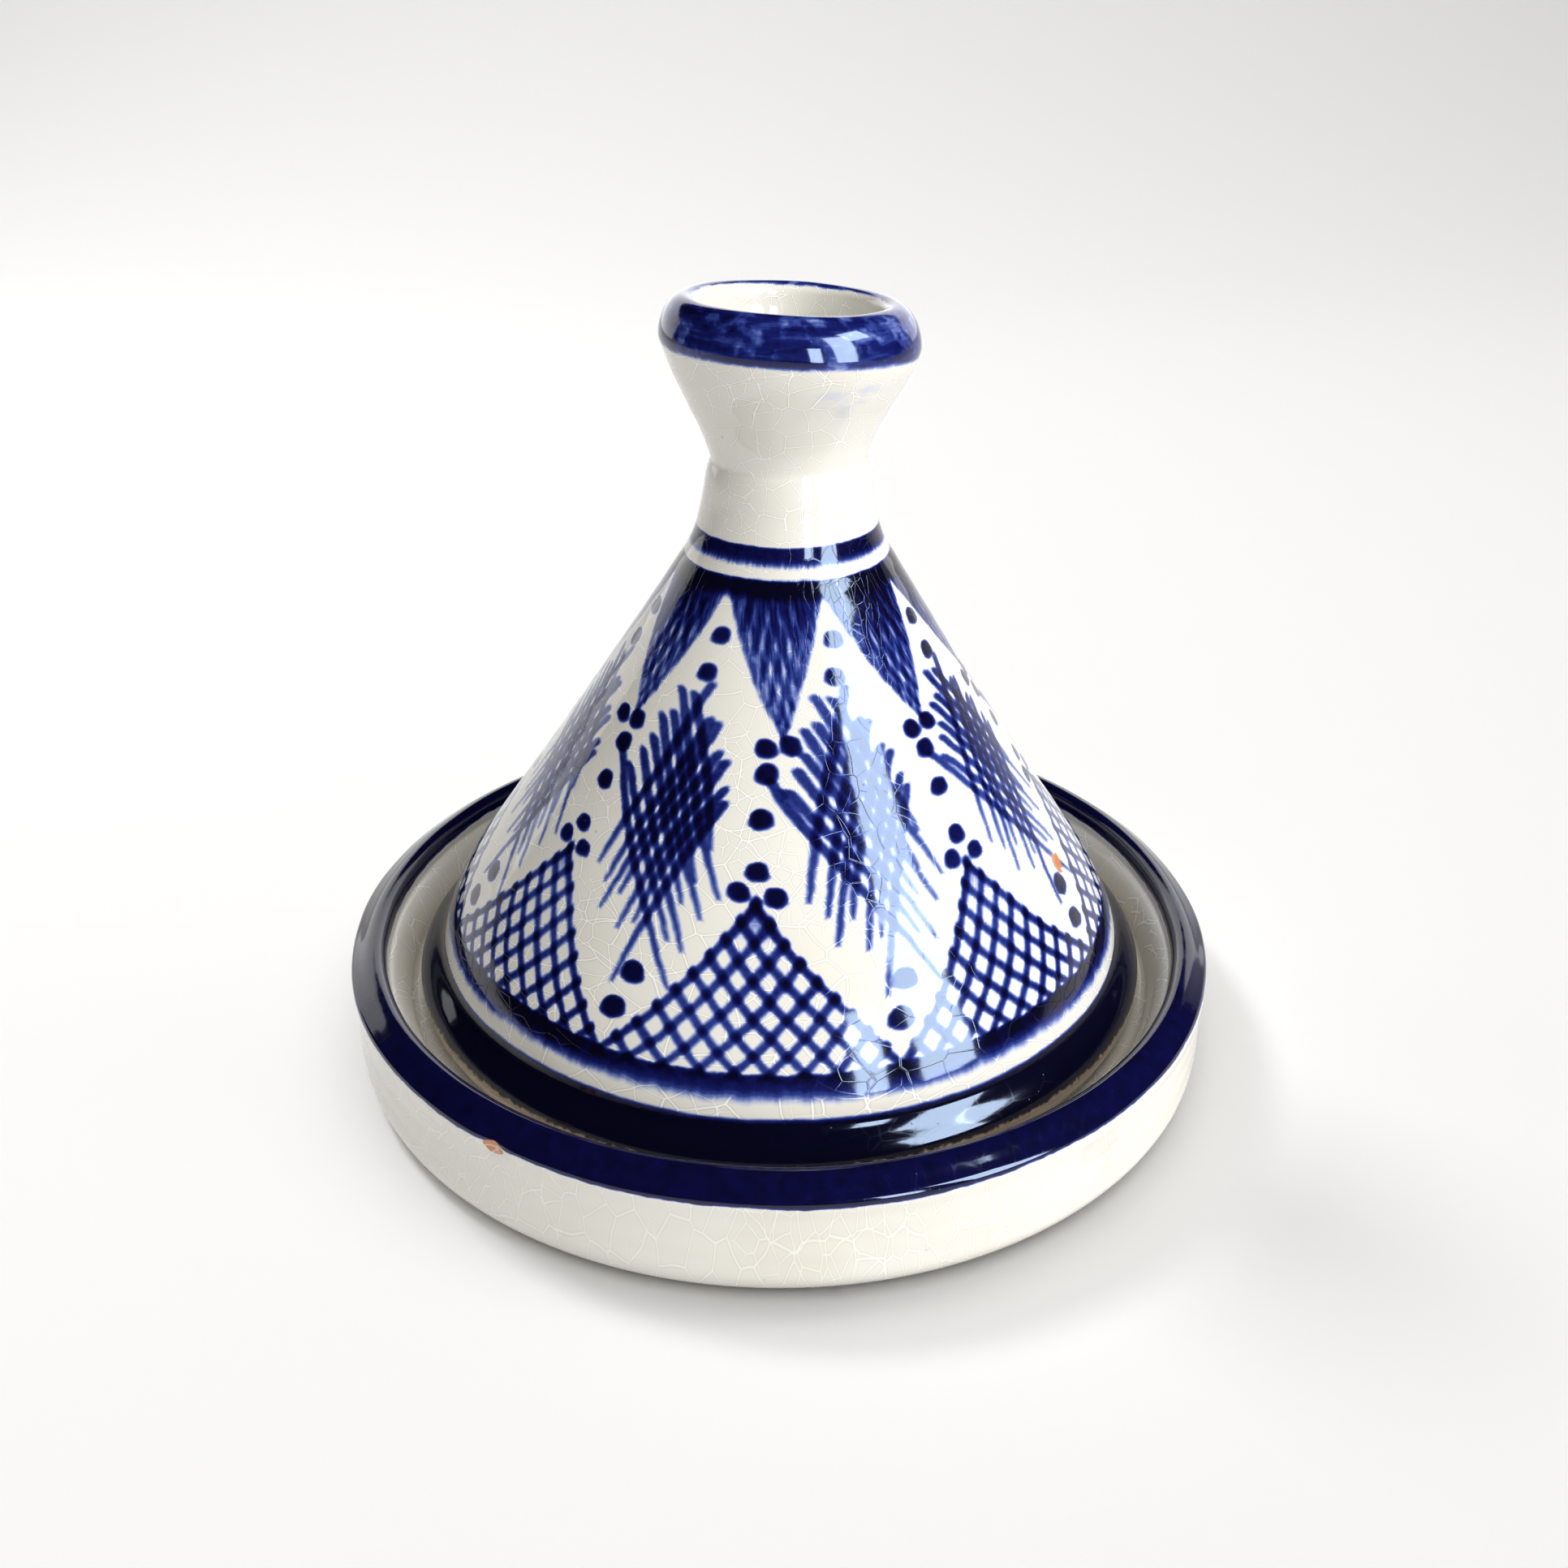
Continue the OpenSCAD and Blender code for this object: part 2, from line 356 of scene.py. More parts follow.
class Graph:
    """The node tree of one material."""

    def __init__(self, name):
        self.material = bpy.data.materials.new(name)
        self.material.use_nodes = True
        self.nodes = self.material.node_tree.nodes
        self.links = self.material.node_tree.links
        self.nodes.clear()

    def node(self, kind, **settings):
        """A new node of this kind, with its properties set."""
        made = self.nodes.new(kind)
        for key, value in settings.items():
            setattr(made, key, value)
        return made

    def feed(self, socket, value):
        """Puts a number, a colour or another node's output into a socket."""
        if isinstance(value, Num):
            value = value.value
        if isinstance(value, bpy.types.NodeSocket):
            self.links.new(value, socket)
        else:
            socket.default_value = value

    def num(self, socket):
        return Num(self, socket)

    def math(self, operation, *values):
        made = self.node("ShaderNodeMath", operation=operation)
        for socket, value in zip(made.inputs, values):
            self.feed(socket, value)
        return Num(self, made.outputs[0])

    def lowest(self, a, b):
        return self.math("MINIMUM", a, b)

    def highest(self, a, b):
        return self.math("MAXIMUM", a, b)

    def fade(self, x, start, end, low=0.0, high=1.0):
        """Goes smoothly from low, where x is start, to high, where x is end."""
        made = self.node("ShaderNodeMapRange", interpolation_type="SMOOTHSTEP", clamp=True)
        for socket, value in zip(made.inputs, (x, start, end, low, high)):
            self.feed(socket, value)
        return Num(self, made.outputs[0])

    def vector(self, x, y, z):
        made = self.node("ShaderNodeCombineXYZ")
        for socket, value in zip(made.inputs, (x, y, z)):
            self.feed(socket, value)
        return made.outputs[0]

    def parts(self, vector):
        made = self.node("ShaderNodeSeparateXYZ")
        self.feed(made.inputs[0], vector)
        return [Num(self, socket) for socket in made.outputs]

    def scaled(self, vector, factor):
        made = self.node("ShaderNodeVectorMath", operation="SCALE")
        self.feed(made.inputs[0], vector)
        made.inputs["Scale"].default_value = factor
        return made.outputs[0]

    def plus(self, a, b):
        made = self.node("ShaderNodeVectorMath", operation="ADD")
        self.feed(made.inputs[0], a)
        self.feed(made.inputs[1], b)
        return made.outputs[0]

    def noise(self, vector, size, detail=2.0, roughness=0.5, offset=0.0):
        """Noise about 0.5, with bumps about this size in mm."""
        made = self.node("ShaderNodeTexNoise", noise_dimensions="4D" if offset else "3D")
        self.feed(made.inputs["Vector"], vector)
        if offset:
            made.inputs["W"].default_value = offset
        made.inputs["Scale"].default_value = 1.0 / size
        made.inputs["Detail"].default_value = detail
        made.inputs["Roughness"].default_value = roughness
        return made

    def cells(self, vector, size):
        """Distance in mm from the nearest of many points, about this far apart."""
        made = self.node("ShaderNodeTexVoronoi", feature="F1")
        self.feed(made.inputs["Vector"], vector)
        made.inputs["Scale"].default_value = 1 / size
        return self.num(made.outputs["Distance"]) * size

    def fac(self, vector, size, detail=2.0, roughness=0.5, offset=0.0):
        """One number of noise() about 0.5."""
        return self.num(self.noise(vector, size, detail, roughness, offset).outputs["Fac"])

    def mix(self, factor, a, b):
        """Colour a where factor is 0 and colour b where it is 1."""
        made = self.node("ShaderNodeMix", data_type="RGBA")
        self.feed(made.inputs["Factor"], factor)
        colours = [s for s in made.inputs if s.type == "RGBA"]
        self.feed(colours[0], a if not isinstance(a, tuple) else (*a, 1))
        self.feed(colours[1], b if not isinstance(b, tuple) else (*b, 1))
        return [s for s in made.outputs if s.type == "RGBA"][0]

    def ramp(self, factor, stops, interpolation="LINEAR"):
        """The colour at factor along a row of (position, colour) stops."""
        made = self.node("ShaderNodeValToRGB")
        made.color_ramp.interpolation = interpolation
        elements = made.color_ramp.elements
        while len(elements) < len(stops):
            elements.new(0.5)
        for element, (position, colour) in zip(elements, stops):
            element.position = position
            element.color = (*colour, 1)
        self.feed(made.inputs[0], factor)
        return made.outputs[0]

    def surface(self, colour, roughness, relief, ior):
        """Finishes the material: one skin, with its fine relief in mm."""
        bump = self.node("ShaderNodeBump")
        bump.inputs["Distance"].default_value = MM
        self.feed(bump.inputs["Height"], relief)
        skin = self.node("ShaderNodeBsdfPrincipled")
        skin.inputs["IOR"].default_value = ior
        self.feed(skin.inputs["Base Color"], colour)
        self.feed(skin.inputs["Roughness"], roughness)
        self.feed(skin.inputs["Normal"], bump.outputs[0])
        out = self.node("ShaderNodeOutputMaterial")
        self.links.new(skin.outputs[0], out.inputs["Surface"])
        return self.material

    def per_repeat(self, index, values):
        """One value for each of the pattern's repeats, index running from 0."""
        low, high = min(values), max(values)
        spread = high - low
        stops = [(i / len(values), ((v - low) / spread,) * 3) for i, v in enumerate(values)]
        grey = self.ramp((index + 0.5) / len(values), stops, "CONSTANT")
        return Num(self, grey) * spread + low


# ---------------------------------------------------------------- colours

WHITE = (0.70, 0.68, 0.62)          # tin glaze over pale clay
WARM_WHITE = (0.62, 0.585, 0.50)    # where it lies thin
CLAY = (0.50, 0.20, 0.085)          # the fired body
PALE_CLAY = (0.60, 0.36, 0.20)
WORN_CLAY = (0.40, 0.31, 0.21)      # rubbed and stained, under the lid's foot
GROG = (0.75, 0.62, 0.48)           # pale grit in the bare clay
SEAT_SHADE = (0.50, 0.44, 0.33)           # painted shade in the seat, where the lid's foot shelters the ledge
IRON = (0.22, 0.15, 0.09)           # specks in the glaze
SOOT = (0.12, 0.12, 0.13)
STRAY_COBALT = (0.05, 0.05, 0.09)
CRACK_PALE = (0.95, 0.94, 0.90)     # light caught in a crack
CRACK_SHADE = (0.30, 0.26, 0.21)    # and the shade beside it
COBALT = [                          # cobalt from a thin wash to many layers
    (0.00, WHITE),
    (0.07, (0.50, 0.53, 0.61)),
    (0.18, (0.15, 0.20, 0.45)),
    (0.32, (0.026, 0.045, 0.22)),
    (0.50, (0.006, 0.010, 0.095)),
    (0.75, (0.003, 0.003, 0.036)),
    (1.00, (0.002, 0.002, 0.010)),
]
COBALT_FULL = 2.4                   # how many layers make the last colour
GLAZE_IOR = 1.52
CLAY_IOR = 1.5


def pot_coordinates(g, lean=0.0):
    """The surface point in mm, its azimuth in degrees, height and radius in mm."""
    place = g.scaled(g.node("ShaderNodeTexCoord").outputs["Object"], 1 / MM)
    x, y, z = g.parts(place)
    if lean:
        x = x - g.fade(z, LEAN_FROM, LEAN_TO, 0.0, lean)
    azimuth = g.math("ARCTAN2", x, -y) * math.degrees(1)
    radius = g.math("SQRT", x * x + y * y)
    return place, azimuth, z, radius


def wrapped(g, azimuth, along, turn_radius):
    """Flat coordinates in mm for crazing, unrolled from a cylinder of this radius."""
    return g.vector(azimuth * math.radians(turn_radius), along, 0.0)


# distances in mm from the middle of a crack, where it starts and where it is full
CRACK, FINE_CRACK = (0.14, 0.035), (0.12, 0.03)
SHADE, FINE_SHADE = (0.34, 0.11), (0.29, 0.10)


def crazing(g, flat, sizes):
    """Fine cracks, and the soft shade beside them, from two sizes of cell in mm."""
    bend = g.scaled(g.noise(flat, 7.0, 1.0).outputs["Color"], 2.4)
    bent = g.plus(flat, bend)
    gaps = []
    for size, shift in zip(sizes, (0.0, 31.0)):
        web = g.node("ShaderNodeTexVoronoi", feature="DISTANCE_TO_EDGE", voronoi_dimensions="2D")
        g.feed(web.inputs["Vector"], g.plus(bent, g.vector(shift, 0.0, 0.0)))
        web.inputs["Scale"].default_value = 1 / size
        gaps.append(g.num(web.outputs["Distance"]) * size)
    patch = g.fade(g.fac(flat, 13.0, 1.0, offset=4.0), 0.42, 0.56)
    crack = g.lowest(g.fade(gaps[0], *CRACK) + g.fade(gaps[1], *FINE_CRACK) * patch, 1.0)
    beside = g.highest(g.fade(gaps[0], *SHADE), g.fade(gaps[1], *FINE_SHADE) * patch) - crack
    return crack, beside


def glaze_surface(g, place, colour, flat, ink=None, relief=1.0, sizes=(4.8, 2.9),
                  faint=1.0):
    """Finishes a glaze: fine crazing, pinholes, a soft unevenness and a glossy skin.

    Crazing shows least where ink, the layers of cobalt under it, is dark, and where
    faint is low. relief is 1 where its cracks can be felt, and has to stay cheap,
    because the bump works it out three times."""
    crack, beside = crazing(g, flat, sizes)
    clear = 1.0 if ink is None else g.fade(ink, 0.7, 0.06)
    toned = g.mix(crack * clear * (0.66 * faint), colour, CRACK_PALE)
    toned = g.mix(beside * clear * (0.25 * faint), toned, CRACK_SHADE)

    ripple = g.fac(place, 5.5)
    skinning = g.fac(place, 0.8)
    pore = g.fade(g.cells(place, 2.3), 0.16, 0.05)
    height = crack * relief * 0.008 + ripple * 0.028 + skinning * 0.002 - pore * 0.012
    roughness = ripple * 0.05 + pore * 0.25 + crack * 0.05 + 0.05
    return g.surface(toned, roughness, height, GLAZE_IOR)


def white_ground(g, place):
    """Milky glaze, a little warmer where it lies thin, with a few iron specks."""
    thin = g.fac(place, 23.0, 3.0)
    base = g.mix(g.fade(thin, 0.45, 0.75, 0.0, 0.35), WHITE, WARM_WHITE)
    speck = g.fade(g.cells(place, 9.0), 0.34, 0.16)
    return g.mix(speck * 0.35, base, IRON)


def cobalt_over(g, base, layers):
    """Cobalt in the glaze: pale wash, then blue, then nearly black where it is thick."""
    wash = g.ramp(layers / COBALT_FULL, COBALT)
    return g.mix(g.fade(layers, 0.0, 0.10), base, wash)


# ---------------------------------------------------------------- painting on the lid

# Places on the pattern are (azimuth in degrees about its middle, height in mm).
REPEATS = 8
REPEAT = 360 / REPEATS
TRIANGLE_AT = -4.5                  # azimuth of one hatched triangle
LEAF_AT = TRIANGLE_AT + REPEAT / 2  # and of the leaf beside it
PENDANT_AT = TRIANGLE_AT - 2.2      # and of the hanging point above it

TRIANGLE_TIP = 46.6
TRIANGLE_FOOT = (24.0, 25.5)
TRIANGLE_SLOPE = 1.10               # degrees out for each mm down
HATCH_PITCH = 5.0                   # degrees between the lines
HATCH_SHIFT = 0.16                  # of a pitch, in from the triangle's edge
TRIANGLE_DOTS = (((0.6, 62.2), 1.3), ((0.4, 56.8), 1.35), ((0.2, 50.2), 1.3),
                 ((-3.4, 47.5), 1.3), ((3.6, 47.2), 1.25))

PENDANT_TOP, PENDANT_TIP = 84.6, 65.8
PENDANT_LENGTH = PENDANT_TOP - PENDANT_TIP
PENDANT_START = 85.5                # height where its strokes start, under the collar
PENDANT_HALF = REPEAT / 2 - 0.2     # half width at the top, in degrees
PENDANT_TIPS = (7.2, 6.0, 4.0, 4.5, 6.0, 3.0, 5.5, 2.5)   # how far each tip is brushed aside
PENDANT_ENDS = ((0.8, 65.6), (1.4, 67.6), (3.4, 69.8), (5.6, 72.6), (9.4, 75.5), (13.0, 78.4))
PENDANT_DOTS = (((-5.4, 65.2), 1.25), ((1.4, 65.4), 1.25))

LEAF_RIGHT = (((-2.5, 70.2), (12.5, 52.5)), ((-8.0, 70.6), (15.2, 46.3)),
              ((-7.8, 67.3), (10.0, 48.0)), ((-11.5, 66.6), (12.0, 43.6)),
              ((-11.8, 63.8), (8.0, 45.0)), ((-13.6, 62.0), (9.6, 39.5)),
              ((-15.8, 59.6), (6.5, 40.5)), ((-20.3, 60.8), (8.5, 34.7)))
LEAF_LEFT = (((2.0, 71.6), (-13.0, 46.8)), ((4.5, 67.4), (-9.7, 45.0)),
             ((7.2, 67.0), (-8.4, 41.6)), ((9.2, 63.8), (-5.3, 44.3)),
             ((11.4, 62.8), (-3.3, 40.3)), ((12.6, 59.6), (-0.5, 41.5)),
             ((13.4, 58.0), (-1.2, 34.3)))
LEAF_DOTS = (((0.6, 78.2), 1.2), ((-0.8, 73.4), 1.25), ((2.0, 36.0), 1.45), ((0.4, 31.4), 1.5))

# Rings: heights where the top edge fades in, heights where the lower edge fades out,
# how much that edge has run, and layers of cobalt.
BASE_LINE = ((26.0, 25.2), (21.3, 24.9), 0.45, 1.9)
COLLAR = ((86.1, 85.6), (82.8, 84.8), 0.3, 1.9)
NECK_RING = ((90.6, 90.0), (87.2, 89.0), 0.3, 1.9)
FOOT_BAND = ((20.0, 18.6), (13.2, 13.6), 0.1, 2.6)

# Where a fade starts and where it ends, in mm or degrees.
PATTERN_TOP = (92, 86)              # height
KNOB_PAINT = (116.9, 118.0)         # height
KNOB_PAINT_INSIDE = (14.1, 14.8)    # radius
SMEAR_LOW, SMEAR_HIGH = (107, 112), (116, 114)
SMEAR_LEFT, SMEAR_RIGHT = (-2, 22), (66, 34)
WORN = (14.5, 13.8)                 # height
LIP_PAINT = (17.5, 18.1)            # height
LIP_PAINT_INSIDE = (LIP_IN - 0.55, LIP_IN - 0.2)


def repeat_frame(g, azimuth, centre):
    """Azimuth about the middle of the nearest repeat, and which repeat it is."""
    turn = (azimuth - (centre - REPEAT / 2)) / REPEAT
    cell = g.math("FLOOR", turn)
    local = (turn - cell - 0.5) * REPEAT
    return local, g.math("FLOORED_MODULO", cell, float(REPEATS))


class Brush:
    """Paints strokes and dots in one repeat: across is in degrees, up in mm of height."""

    def __init__(self, g, across, up, per_degree, swell):
        self.g = g
        self.across = across
        self.up = up
        self.per_degree = per_degree    # mm to a degree at this height
        self.swell = swell              # how much wider or narrower the brush runs here
        self.layers = Num(g, 0.0)

    def stroke(self, start, end, bend, half_width, layers):
        """A tapering stroke from start to end, bowed by bend degrees halfway down."""
        g = self.g
        drop = start[1] - end[1]
        run = end[0] - start[0]
        down = start[1] - self.up
        # across = start + down * (first + second * down), which is end when down is drop
        second = -4 * bend / drop ** 2
        first = run / drop - second * drop
        middle = down * g.math("MULTIPLY_ADD", down, second, first)
        lean = run / drop * 0.6
        squeeze = SLANT / math.sqrt(lean * lean + SLANT * SLANT)
        gap = (self.across - middle - start[0]) * (self.per_degree * squeeze)
        above = g.highest(down * (-SLANT / squeeze), 0.0)
        gap = g.math("SQRT", gap * gap + above * above)
        left = g.math("MULTIPLY_ADD", down, -1 / drop, 1.0)
        width = g.math("POWER", g.highest(left, 0.0), 0.4) * (self.swell * half_width)
        edge = g.highest(gap - width, (down - drop) * SLANT)
        thinned = g.fade(left, 0.0, 0.45, layers * 0.75, layers)
        self.layers = self.layers + g.fade(edge, 0.78, -0.22) * thinned

    def dots(self, places, layers=1.9):
        """Round touches of the brush, (place, radius), with the colour run a little down."""
        g = self.g
        for (at, up), radius in places:
            side = (self.across - at) * self.per_degree
            rise = (self.up - up) * SLANT
            fall = g.fade(rise, 0.3, -1.2, 1.12, 0.86)
            away = g.math("SQRT", side * side * 0.72 + rise * rise * 1.05) * fall
            self.layers = self.layers + g.fade(away, radius + 0.55, radius - 0.42) * layers


def hatching(g, edges, per_degree, half_width):
    """Two families of lines, each parallel to one edge of a triangle.

    edges are how far outside the point is past each edge, in degrees."""
    layers = Num(g, 0.0)
    for edge in edges:
        order = edge / HATCH_PITCH + HATCH_SHIFT
        gap = abs(order - g.math("ROUND", order)) * (HATCH_PITCH * 0.78) * per_degree
        layers = layers + g.fade(gap - half_width, 0.88, -0.15)
    return layers


def triangles(g, turn, up, per_degree, swell):
    """Hatched triangles standing on the base line, with three dots at each tip."""
    across, _ = repeat_frame(g, turn, TRIANGLE_AT)
    reach = (TRIANGLE_TIP - up) * TRIANGLE_SLOPE
    edges = (across - reach, -across - reach)
    outside = g.highest(*edges) * per_degree
    lines = hatching(g, edges, per_degree, swell * 0.22)
    lines = lines * g.fade(outside, -2.0, 0.2, 1.05, 1.2) * g.fade(outside, 1.15, 0.2)
    crown = g.fade(up, 40.5, TRIANGLE_TIP) * g.fade(outside, 0.2, -0.4) * 0.7
    brush = Brush(g, across, up, per_degree, swell)
    brush.dots(TRIANGLE_DOTS)
    return (lines + crown) * g.fade(up, *TRIANGLE_FOOT) + brush.layers


def pendants(g, turn, up, per_degree, swell):
    """Long points hanging from the collar, each ending over a pair of dots."""
    across, which = repeat_frame(g, turn, PENDANT_AT)
    drop = PENDANT_TOP - up
    across = across - g.per_repeat(which, PENDANT_TIPS) * (drop / PENDANT_LENGTH)
    outside = (abs(across) - PENDANT_HALF + drop * PENDANT_HALF / PENDANT_LENGTH) * per_degree
    fan = Brush(g, across, up, per_degree, swell)
    for i, (reach, low) in enumerate(PENDANT_ENDS):
        top = PENDANT_HALF - 0.8 - 5.8 * i
        fan.stroke((-top, PENDANT_START), (reach, low), 0.5, 0.44, 0.85)
        fan.stroke((top + 0.7, PENDANT_START), (0.5 - reach, low + 0.6), -0.5, 0.44, 0.85)
    streaks = g.fac(g.vector(across * 0.7, up * 0.2, which), 1.0)
    wash = g.fade(outside, 0.2, -0.9) * g.fade(up, 76, 85.0, 0.10, 0.8)
    painted = (fan.layers + wash) * g.fade(streaks, 0.32, 0.62, 0.7, 1.15)
    painted = painted * g.fade(outside, 0.75, 0.1)
    pair = Brush(g, across, up, per_degree, swell)
    pair.dots(PENDANT_DOTS)
    return painted * g.fade(up, 86, 84.5) + pair.layers


def leaves(g, turn, up, per_degree, swell):
    """Feathery leaves of two crossing families of strokes, dots above and below."""
    across, _ = repeat_frame(g, turn, LEAF_AT)
    leaf = Brush(g, across, up, per_degree, swell)
    for strokes, bend in ((LEAF_RIGHT, 2.4), (LEAF_LEFT, -2.2)):
        for start, end in strokes:
            leaf.stroke(start, end, bend, 0.46, 1.0)
    leaf.dots(LEAF_DOTS)
    return leaf.layers


def ring(g, level, run, shape, top_level=None):
    """A painted ring, with a clean top edge and a lower edge that has run."""
    top, low, running, layers = shape
    return (g.fade(level if top_level is None else top_level, *top)
            * g.fade(level + run * running, *low) * layers)


def paint_rings(g, azimuth, height, level, rough):
    """The base line, collar and neck ring, and apart from them the band round the foot."""
    run = (g.fac(g.vector(azimuth * 0.5, height * 0.08, 0.0), 1.0) - 0.45) * 2.6
    rings = (ring(g, level, run, BASE_LINE, level + rough * 0.9) + ring(g, level, run, NECK_RING)
             + ring(g, level, run, COLLAR))
    return rings, ring(g, level, run, FOOT_BAND)


def paint_knob(g, azimuth, height, radius, level, small):
    """Streaky cobalt over the knob's rim, laid thin so that it reads lighter as a painted sheen,
    and a faint smear wiped down under it.
    """
    tilted = level + radius * g.math("SINE", azimuth * math.radians(1)) * KNOB_TILT
    # brush streaks in the cobalt, and a thinner, lighter coat overall that is painted sheen
    brushing_and_sheen = g.fac(g.vector(azimuth * 0.05, height * 0.9, radius * 0.9), 1.0)
    rim = (g.fade(tilted, *KNOB_PAINT) * g.fade(radius + (small[1] - 0.5) * 0.8, *KNOB_PAINT_INSIDE)
           * (brushing_and_sheen * 2.2 + 0.3) * g.fade(small[2], 0.46, 0.66, 1.0, 0.55))
    wiped = g.fac(g.vector(azimuth * 0.06, height * 0.5, 0.0), 1.0)
    smear = (g.fade(height, *SMEAR_LOW) * g.fade(height, *SMEAR_HIGH)
             * g.fade(azimuth, *SMEAR_LEFT) * g.fade(azimuth, *SMEAR_RIGHT)
             * g.fade(wiped, 0.35, 0.65) * 0.12)
    return rim, smear


def paint_lid(g, place, azimuth, height, radius):
    """Layers of cobalt over the whole outside of the lid, none of it quite evenly spaced."""
    big = g.parts(g.noise(place, 30.0, 1.0).outputs["Color"])
    small = g.parts(g.noise(place, 2.6, 2.0).outputs["Color"])
    per_degree = radius * math.radians(1)
    up = height + (big[0] - 0.5) * 3.0 + (small[0] - 0.5) * 0.55
    turn = (azimuth - g.math("SINE", azimuth * math.radians(1)) * 1.2
            + (big[1] - 0.5) * 4.0 + (small[1] - 0.5) / per_degree * 0.6)
    level = height + (big[2] - 0.5) * 1.2 + (small[0] - 0.5) * 0.35
    swell = big[2] * 0.6 + small[2] * 0.5 + 0.45
    density = (g.fac(place, 1.2, 2.0, 0.6) * 0.5 + 0.75) * (big[0] * 1.2 + 0.4)

    pattern = (triangles(g, turn, up, per_degree, swell) + leaves(g, turn, up, per_degree, swell)
               + pendants(g, turn, up, per_degree, swell)) * g.fade(height, *PATTERN_TOP)
    rings, foot = paint_rings(g, azimuth, height, level, small[1] - 0.5)
    rim, smear = paint_knob(g, azimuth, height, radius, level, small)
    return (pattern + rings + rim) * density + smear + foot


def chip_mask(g, azimuth, height, radius, at, size, edge_noise):
    """Where the glaze is knocked off: at is (azimuth, height), size is half width and height."""
    side = (azimuth - at[0]) * radius * math.radians(1) / size[0]
    rise = (height - at[1]) / size[1]
    return g.fade(side * side + rise * rise + (edge_noise - 0.5) * 1.6, 1.05, 0.85)


# Marks from use and firing, each at (azimuth, height).
LID_CHIP = (69.5, 37.6)
DISH_CHIP = (-33.0, 17.3)
SMUDGE = (39, 13.5)
SPOTS = ((3.2, 1.6), (6.4, 1.3))


def lid_glaze():
    """White and cobalt, worn to the clay under the foot."""
    g = Graph("lid_painted_glaze")
    place, azimuth, height, radius = pot_coordinates(g, LEAN)
    layers = paint_lid(g, place, azimuth, height, radius)
    colour = cobalt_over(g, white_ground(g, place), layers)
    rough = g.fac(place, 1.0, 3.0)
    worn = g.fade(height + (rough - 0.5) * 1.4, *WORN)
    colour = g.mix(worn * 0.85, colour, WORN_CLAY)
    chip = chip_mask(g, azimuth, height, radius, LID_CHIP, (1.7, 1.4), rough)
    colour = g.mix(chip, colour, CLAY)
    neck = wrapped(g, azimuth, height * 1.5, 20.0)
    cone = wrapped(g, azimuth, (height - radius) * 0.75, 39.0)
    flat = g.mix(g.math("GREATER_THAN", height, 87.0), cone, neck)
    relief = g.fade(height, 19, 21) * g.fade(height, 117, 116)
    return glaze_surface(g, place, colour, flat, layers + (worn + chip) * 3.0, relief)


def dish_glaze():
    """White wall with a cobalt lip, and the marks that the wall has picked up."""
    g = Graph("dish_glaze")
    place, azimuth, height, radius = pot_coordinates(g)
    wobble = g.parts(g.noise(place, 3.2, 3.0).outputs["Color"])
    edge = (wobble[0] - 0.5) * 0.7 + (g.fac(place, 26.0, 1.0) - 0.5) * 1.2
    lip_low = g.fade(height + edge, *LIP_PAINT)
    lip_in = g.fade(radius + edge * 0.4, *LIP_PAINT_INSIDE)
    layers = lip_low * lip_in * 2.0 * (g.fac(place, 2.0) * 0.5 + 0.75)
    foot_line = g.fade(height + edge * 0.6, 1.3, 0.7) * g.fade(radius, 66, 68)
    base = g.mix(foot_line * 0.5, white_ground(g, place), WARM_WHITE)
    smudge = chip_mask(g, azimuth, height, radius, SMUDGE, (5.0, 2.4), wobble[1])
    base = g.mix(smudge * 0.18 * wobble[2], base, SOOT)
    for at in SPOTS:
        spot = chip_mask(g, azimuth, height, radius, at, (0.6, 0.55), wobble[1])
        base = g.mix(spot * 0.85, base, STRAY_COBALT)
    colour = cobalt_over(g, base, layers)
    chip = chip_mask(g, azimuth, height, radius, DISH_CHIP, (1.9, 1.2), wobble[1])
    colour = g.mix(chip, colour, CLAY)
    flat = wrapped(g, azimuth, height * 0.5, DISH_R)
    return glaze_surface(g, place, colour, flat, layers, g.fade(height, 18, 17), (3.8, 2.5), 0.42)


def bowl_glaze():
    """White, with painted shade: a brownish darkening in the corner between the lip and the lid."""
    g = Graph("bowl_glaze")
    place, _, _, radius = pot_coordinates(g)
    # painted shade: the ledge and inner lip darkened and browned where the lid's foot shelters them
    painted_shade = g.fade(radius, 50, 60) * g.fade(radius, 69, 67) * g.fac(place, 26.0, 1.0) * 0.35
    return glaze_surface(g, place, g.mix(painted_shade, white_ground(g, place), SEAT_SHADE), place)


def white_glaze():
    """Plain white, for the knob's cup and the lid's hollow."""
    g = Graph("white_glaze")
    place, azimuth, height, radius = pot_coordinates(g)
    return glaze_surface(g, place, white_ground(g, place),
                         wrapped(g, azimuth, height - radius * 0.3, 24.0))


def bare_clay():
    """Unglazed earthenware: open, dusty, with grog and turning lines."""
    g = Graph("bare_clay")
    place, _, _, radius = pot_coordinates(g)
    cloud = g.fac(place, 14.0, 4.0)
    grain = g.fac(place, 0.7, 3.0, 0.7)
    bit = g.fade(g.cells(place, 2.6), 0.42, 0.2)
    colour = g.mix(g.fade(cloud, 0.35, 0.7), CLAY, PALE_CLAY)
    colour = g.mix(bit * 0.5, colour, GROG)
    turning = g.math("SINE", radius * 4.0 + cloud * 6.0)
    relief = grain * 0.12 + bit * 0.04 + turning * 0.02
    return g.surface(colour, grain * 0.2 + 0.72, relief, CLAY_IOR)


MATERIALS = {
    "lid_glaze": lid_glaze(),
    "dish_glaze": dish_glaze(),
    "bowl_glaze": bowl_glaze(),
    "white_glaze": white_glaze(),
    "bare_clay": bare_clay(),
}

# ---------------------------------------------------------------- the two pieces

